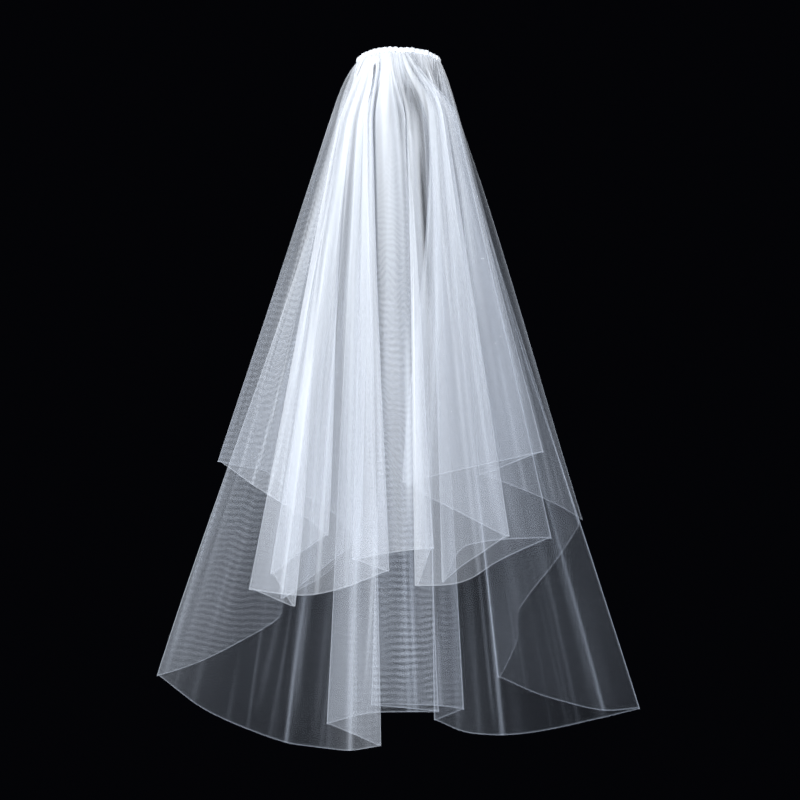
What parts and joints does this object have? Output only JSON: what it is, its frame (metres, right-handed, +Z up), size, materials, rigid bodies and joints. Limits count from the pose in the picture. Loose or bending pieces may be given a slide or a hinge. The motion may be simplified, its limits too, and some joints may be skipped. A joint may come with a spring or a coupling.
{
  "type": "bridal veil",
  "caption": "Tiered bridal veil of sheer tulle with plain cut edges, gathered onto a clear hair comb, hanging in deep uneven folds and open at the front.",
  "frame": {"origin": "the roots of the comb's middle teeth, where the wearer's hair holds the veil", "axes": "+Z up, so the veil hangs towards -Z; its back faces -Y and its open front faces +Y; +X is to the right for someone who looks at the back"},
  "size_m": [0.6572, 0.318, 0.9373],
  "materials": {
    "tulle": "sheer matte net",
    "gathers": "packed matte net",
    "clear_plastic": "clear gloss"
  },
  "bodies": {
    "root": {"upper_tier": "tulle", "lower_tier": "tulle", "gathered_heading": "gathers", "comb": "clear_plastic"}
  },
  "joints": []
}
